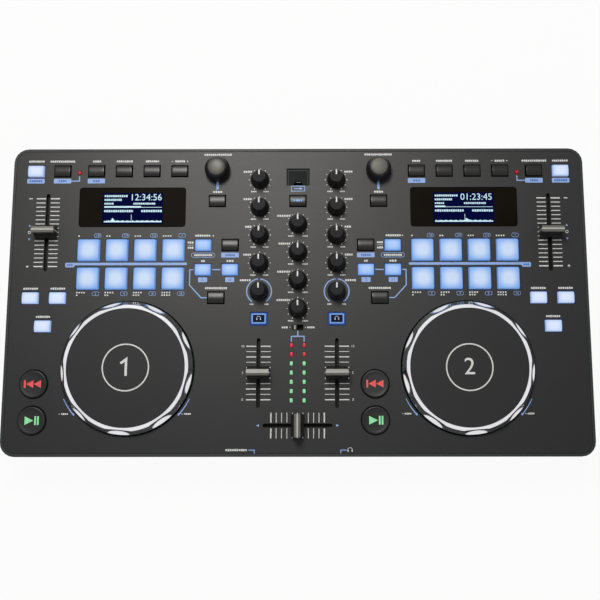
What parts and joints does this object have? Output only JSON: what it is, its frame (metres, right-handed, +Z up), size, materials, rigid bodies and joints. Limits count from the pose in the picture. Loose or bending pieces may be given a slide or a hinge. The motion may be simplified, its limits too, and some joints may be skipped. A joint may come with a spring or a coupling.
{
  "type": "dj controller",
  "caption": "Flat DJ controller with scalloped jog wheels, lit pads and keys, faders, knobs, displays and a level meter",
  "frame": {"origin": "middle of the case in plan, on the surface the feet stand on", "axes": "+X to the user's right along the width, +Y to the back, +Z up out of the faceplate"},
  "size_m": [0.5004, 0.266, 0.064],
  "materials": {
    "brushed_plate": "brushed, black anodised, with white and blue print",
    "case_shell": "fine matt texture",
    "circuit_board": "solder mask",
    "display_window": "dark tinted window with a lit blue screen",
    "socket_metal": "plated shell",
    "jack_plastic": "satin",
    "jog_chrome": "polished ring and satin black disc",
    "knob_rubber": "soft-touch matt",
    "fader_cap": "satin with a pale ridge",
    "dark_key": "satin black",
    "round_key": "smooth satin with a lit mark",
    "lit_key": "lit translucent",
    "door_plastic": "satin"
  },
  "bodies": {
    "root": {"faceplate": "brushed_plate", "case": "case_shell", "main_board": "circuit_board", "left_display": "display_window", "right_display": "display_window", "usb_socket": "socket_metal", "mic_jack": "jack_plastic", "headphone_jack": "jack_plastic", "rear_jack_block": "jack_plastic"},
    "left_jog_wheel": {"left_jog_wheel": "jog_chrome"},
    "left_browse_knob": {"left_browse_knob": "knob_rubber"},
    "left_gain_knob": {"left_gain_knob": "knob_rubber"},
    "left_high_knob": {"left_high_knob": "knob_rubber"},
    "left_mid_knob": {"left_mid_knob": "knob_rubber"},
    "left_low_knob": {"left_low_knob": "knob_rubber"},
    "left_filter_knob": {"left_filter_knob": "knob_rubber"},
    "left_pitch_fader": {"left_pitch_fader": "fader_cap"},
    "left_channel_fader": {"left_channel_fader": "fader_cap"},
    "left_key_lock_key": {"left_key_lock_key": "lit_key"},
    "left_bpm_tap_key": {"left_bpm_tap_key": "dark_key"},
    "left_track_keys": {"left_track_keys": "dark_key"},
    "left_back_key": {"left_back_key": "dark_key"},
    "left_hot_cue_key": {"left_hot_cue_key": "lit_key"},
    "left_shift_key": {"left_shift_key": "dark_key"},
    "left_loop_keys": {"left_loop_keys": "lit_key"},
    "left_mode_keys": {"left_mode_keys": "lit_key"},
    "left_headphone_cue_key": {"left_headphone_cue_key": "lit_key"},
    "left_cue_key": {"left_cue_key": "round_key"},
    "left_play_key": {"left_play_key": "round_key"},
    "left_pads": {"left_pads": "lit_key"},
    "right_jog_wheel": {"right_jog_wheel": "jog_chrome"},
    "right_browse_knob": {"right_browse_knob": "knob_rubber"},
    "right_gain_knob": {"right_gain_knob": "knob_rubber"},
    "right_high_knob": {"right_high_knob": "knob_rubber"},
    "right_mid_knob": {"right_mid_knob": "knob_rubber"},
    "right_low_knob": {"right_low_knob": "knob_rubber"},
    "right_filter_knob": {"right_filter_knob": "knob_rubber"},
    "right_pitch_fader": {"right_pitch_fader": "fader_cap"},
    "right_channel_fader": {"right_channel_fader": "fader_cap"},
    "right_key_lock_key": {"right_key_lock_key": "lit_key"},
    "right_bpm_tap_key": {"right_bpm_tap_key": "dark_key"},
    "right_track_keys": {"right_track_keys": "dark_key"},
    "right_back_key": {"right_back_key": "dark_key"},
    "right_hot_cue_key": {"right_hot_cue_key": "lit_key"},
    "right_shift_key": {"right_shift_key": "dark_key"},
    "right_loop_keys": {"right_loop_keys": "lit_key"},
    "right_mode_keys": {"right_mode_keys": "lit_key"},
    "right_headphone_cue_key": {"right_headphone_cue_key": "lit_key"},
    "right_cue_key": {"right_cue_key": "round_key"},
    "right_play_key": {"right_play_key": "round_key"},
    "right_pads": {"right_pads": "lit_key"},
    "master_knob": {"master_knob": "knob_rubber"},
    "booth_knob": {"booth_knob": "knob_rubber"},
    "cue_volume_knob": {"cue_volume_knob": "knob_rubber"},
    "cue_mix_knob": {"cue_mix_knob": "knob_rubber"},
    "crossfader": {"crossfader": "fader_cap"},
    "meter_switch": {"meter_switch": "fader_cap"},
    "midi_key": {"midi_key": "dark_key"},
    "mic_volume_knob": {"mic_volume_knob": "knob_rubber"},
    "usb_door": {"usb_door": "door_plastic"}
  },
  "joints": [
    {"name": "left_jog_wheel_turn", "type": "hinge", "parent": "root", "child": "left_jog_wheel", "pos_m": [-0.1447, -0.059, 0.048], "axis": [0, 0, 1], "continuous": true},
    {"name": "left_browse_knob_turn", "type": "hinge", "parent": "root", "child": "left_browse_knob", "pos_m": [-0.0705, 0.1135, 0.048], "axis": [0, 0, 1], "continuous": true},
    {"name": "left_gain_knob_turn", "type": "hinge", "parent": "root", "child": "left_gain_knob", "pos_m": [-0.0334, 0.1048, 0.048], "axis": [0, 0, 1], "range_deg": [-150, 150]},
    {"name": "left_high_knob_turn", "type": "hinge", "parent": "root", "child": "left_high_knob", "pos_m": [-0.0334, 0.0802, 0.048], "axis": [0, 0, 1], "range_deg": [-150, 150]},
    {"name": "left_mid_knob_turn", "type": "hinge", "parent": "root", "child": "left_mid_knob", "pos_m": [-0.0334, 0.0556, 0.048], "axis": [0, 0, 1], "range_deg": [-150, 150]},
    {"name": "left_low_knob_turn", "type": "hinge", "parent": "root", "child": "left_low_knob", "pos_m": [-0.0334, 0.031, 0.048], "axis": [0, 0, 1], "range_deg": [-150, 150]},
    {"name": "left_filter_knob_turn", "type": "hinge", "parent": "root", "child": "left_filter_knob", "pos_m": [-0.0334, 0.0064, 0.048], "axis": [0, 0, 1], "range_deg": [-150, 150]},
    {"name": "left_pitch_fader_slide", "type": "slide", "parent": "root", "child": "left_pitch_fader", "axis": [0, 1, 0], "range_m": [-0.03, 0.03]},
    {"name": "left_channel_fader_slide", "type": "slide", "parent": "root", "child": "left_channel_fader", "axis": [0, 1, 0], "range_m": [-0.0225, 0.0225]},
    {"name": "left_key_lock_key_slide", "type": "slide", "parent": "root", "child": "left_key_lock_key", "axis": [0, 0, 1], "range_m": [-0.001, 0], "stiffness_N_per_m": 400},
    {"name": "left_bpm_tap_key_slide", "type": "slide", "parent": "root", "child": "left_bpm_tap_key", "axis": [0, 0, 1], "range_m": [-0.001, 0], "stiffness_N_per_m": 400},
    {"name": "left_track_keys_slide", "type": "slide", "parent": "root", "child": "left_track_keys", "axis": [0, 0, 1], "range_m": [-0.001, 0], "stiffness_N_per_m": 400},
    {"name": "left_back_key_slide", "type": "slide", "parent": "root", "child": "left_back_key", "axis": [0, 0, 1], "range_m": [-0.001, 0], "stiffness_N_per_m": 400},
    {"name": "left_hot_cue_key_slide", "type": "slide", "parent": "root", "child": "left_hot_cue_key", "axis": [0, 0, 1], "range_m": [-0.001, 0], "stiffness_N_per_m": 400},
    {"name": "left_shift_key_slide", "type": "slide", "parent": "root", "child": "left_shift_key", "axis": [0, 0, 1], "range_m": [-0.001, 0], "stiffness_N_per_m": 400},
    {"name": "left_loop_keys_slide", "type": "slide", "parent": "root", "child": "left_loop_keys", "axis": [0, 0, 1], "range_m": [-0.001, 0], "stiffness_N_per_m": 400},
    {"name": "left_mode_keys_slide", "type": "slide", "parent": "root", "child": "left_mode_keys", "axis": [0, 0, 1], "range_m": [-0.001, 0], "stiffness_N_per_m": 400},
    {"name": "left_headphone_cue_key_slide", "type": "slide", "parent": "root", "child": "left_headphone_cue_key", "axis": [0, 0, 1], "range_m": [-0.001, 0], "stiffness_N_per_m": 400},
    {"name": "left_cue_key_slide", "type": "slide", "parent": "root", "child": "left_cue_key", "axis": [0, 0, 1], "range_m": [-0.001, 0], "stiffness_N_per_m": 400},
    {"name": "left_play_key_slide", "type": "slide", "parent": "root", "child": "left_play_key", "axis": [0, 0, 1], "range_m": [-0.001, 0], "stiffness_N_per_m": 400},
    {"name": "left_pads_slide", "type": "slide", "parent": "root", "child": "left_pads", "axis": [0, 0, 1], "range_m": [-0.001, 0], "stiffness_N_per_m": 1200},
    {"name": "right_jog_wheel_turn", "type": "hinge", "parent": "root", "child": "right_jog_wheel", "pos_m": [0.1447, -0.059, 0.048], "axis": [0, 0, 1], "continuous": true},
    {"name": "right_browse_knob_turn", "type": "hinge", "parent": "root", "child": "right_browse_knob", "pos_m": [0.0705, 0.1135, 0.048], "axis": [0, 0, 1], "continuous": true},
    {"name": "right_gain_knob_turn", "type": "hinge", "parent": "root", "child": "right_gain_knob", "pos_m": [0.0334, 0.1048, 0.048], "axis": [0, 0, 1], "range_deg": [-150, 150]},
    {"name": "right_high_knob_turn", "type": "hinge", "parent": "root", "child": "right_high_knob", "pos_m": [0.0334, 0.0802, 0.048], "axis": [0, 0, 1], "range_deg": [-150, 150]},
    {"name": "right_mid_knob_turn", "type": "hinge", "parent": "root", "child": "right_mid_knob", "pos_m": [0.0334, 0.0556, 0.048], "axis": [0, 0, 1], "range_deg": [-150, 150]},
    {"name": "right_low_knob_turn", "type": "hinge", "parent": "root", "child": "right_low_knob", "pos_m": [0.0334, 0.031, 0.048], "axis": [0, 0, 1], "range_deg": [-150, 150]},
    {"name": "right_filter_knob_turn", "type": "hinge", "parent": "root", "child": "right_filter_knob", "pos_m": [0.0334, 0.0064, 0.048], "axis": [0, 0, 1], "range_deg": [-150, 150]},
    {"name": "right_pitch_fader_slide", "type": "slide", "parent": "root", "child": "right_pitch_fader", "axis": [0, 1, 0], "range_m": [-0.03, 0.03]},
    {"name": "right_channel_fader_slide", "type": "slide", "parent": "root", "child": "right_channel_fader", "axis": [0, 1, 0], "range_m": [-0.0225, 0.0225]},
    {"name": "right_key_lock_key_slide", "type": "slide", "parent": "root", "child": "right_key_lock_key", "axis": [0, 0, 1], "range_m": [-0.001, 0], "stiffness_N_per_m": 400},
    {"name": "right_bpm_tap_key_slide", "type": "slide", "parent": "root", "child": "right_bpm_tap_key", "axis": [0, 0, 1], "range_m": [-0.001, 0], "stiffness_N_per_m": 400},
    {"name": "right_track_keys_slide", "type": "slide", "parent": "root", "child": "right_track_keys", "axis": [0, 0, 1], "range_m": [-0.001, 0], "stiffness_N_per_m": 400},
    {"name": "right_back_key_slide", "type": "slide", "parent": "root", "child": "right_back_key", "axis": [0, 0, 1], "range_m": [-0.001, 0], "stiffness_N_per_m": 400},
    {"name": "right_hot_cue_key_slide", "type": "slide", "parent": "root", "child": "right_hot_cue_key", "axis": [0, 0, 1], "range_m": [-0.001, 0], "stiffness_N_per_m": 400},
    {"name": "right_shift_key_slide", "type": "slide", "parent": "root", "child": "right_shift_key", "axis": [0, 0, 1], "range_m": [-0.001, 0], "stiffness_N_per_m": 400},
    {"name": "right_loop_keys_slide", "type": "slide", "parent": "root", "child": "right_loop_keys", "axis": [0, 0, 1], "range_m": [-0.001, 0], "stiffness_N_per_m": 400},
    {"name": "right_mode_keys_slide", "type": "slide", "parent": "root", "child": "right_mode_keys", "axis": [0, 0, 1], "range_m": [-0.001, 0], "stiffness_N_per_m": 400},
    {"name": "right_headphone_cue_key_slide", "type": "slide", "parent": "root", "child": "right_headphone_cue_key", "axis": [0, 0, 1], "range_m": [-0.001, 0], "stiffness_N_per_m": 400},
    {"name": "right_cue_key_slide", "type": "slide", "parent": "root", "child": "right_cue_key", "axis": [0, 0, 1], "range_m": [-0.001, 0], "stiffness_N_per_m": 400},
    {"name": "right_play_key_slide", "type": "slide", "parent": "root", "child": "right_play_key", "axis": [0, 0, 1], "range_m": [-0.001, 0], "stiffness_N_per_m": 400},
    {"name": "right_pads_slide", "type": "slide", "parent": "root", "child": "right_pads", "axis": [0, 0, 1], "range_m": [-0.001, 0], "stiffness_N_per_m": 1200},
    {"name": "master_knob_turn", "type": "hinge", "parent": "root", "child": "master_knob", "pos_m": [0, 0.0653, 0.048], "axis": [0, 0, 1], "range_deg": [-150, 150]},
    {"name": "booth_knob_turn", "type": "hinge", "parent": "root", "child": "booth_knob", "pos_m": [0, 0.0407, 0.048], "axis": [0, 0, 1], "range_deg": [-150, 150]},
    {"name": "cue_volume_knob_turn", "type": "hinge", "parent": "root", "child": "cue_volume_knob", "pos_m": [0, 0.0161, 0.048], "axis": [0, 0, 1], "range_deg": [-150, 150]},
    {"name": "cue_mix_knob_turn", "type": "hinge", "parent": "root", "child": "cue_mix_knob", "pos_m": [0, -0.0085, 0.048], "axis": [0, 0, 1], "range_deg": [-150, 150]},
    {"name": "crossfader_slide", "type": "slide", "parent": "root", "child": "crossfader", "axis": [1, 0, 0], "range_m": [-0.0225, 0.0225]},
    {"name": "meter_switch_slide", "type": "slide", "parent": "root", "child": "meter_switch", "axis": [1, 0, 0], "range_m": [0, 0.0046]},
    {"name": "midi_key_slide", "type": "slide", "parent": "root", "child": "midi_key", "axis": [0, 0, 1], "range_m": [-0.001, 0], "stiffness_N_per_m": 400},
    {"name": "mic_volume_knob_turn", "type": "hinge", "parent": "root", "child": "mic_volume_knob", "pos_m": [-0.0362, -0.133, 0.018], "axis": [0, -1, 0], "range_deg": [-150, 150]},
    {"name": "usb_door_turn", "type": "hinge", "parent": "root", "child": "usb_door", "pos_m": [0, 0.1139, 0.0471], "axis": [-1, 0, 0], "range_deg": [0, 95]}
  ]
}
